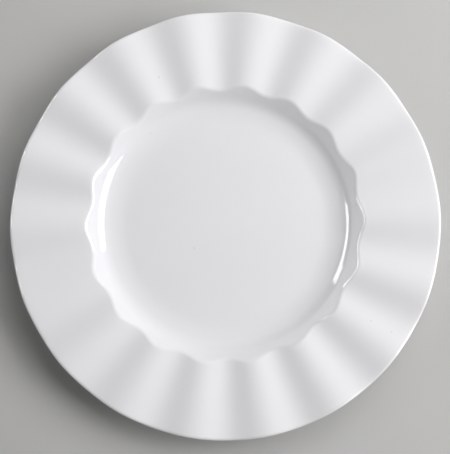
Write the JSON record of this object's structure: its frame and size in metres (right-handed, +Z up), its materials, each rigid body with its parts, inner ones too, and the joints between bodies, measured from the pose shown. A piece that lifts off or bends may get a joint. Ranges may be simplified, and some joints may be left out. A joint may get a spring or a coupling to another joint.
{
  "type": "salad plate",
  "caption": "Round white porcelain salad plate with a flat well, a scalloped well edge and a broad rim of radial flutes, glazed all over but for the face of its foot ring.",
  "frame": {"origin": "centre of the plate's axis on the plane that its foot ring rests on", "axes": "+Z up along the plate's axis, out of the well; +X through a flute crest to within about a degree"},
  "size_m": [0.2096, 0.2102, 0.0205],
  "materials": {
    "fired_clay": "unglazed fired porcelain, matt",
    "white_glaze": "clear gloss glaze over cool white porcelain",
    "base_glaze": "clear gloss glaze, a little thinner than on the face"
  },
  "bodies": {
    "root": {"porcelain_body": "fired_clay", "outer_glaze": "white_glaze", "base_glaze": "base_glaze"}
  },
  "joints": []
}
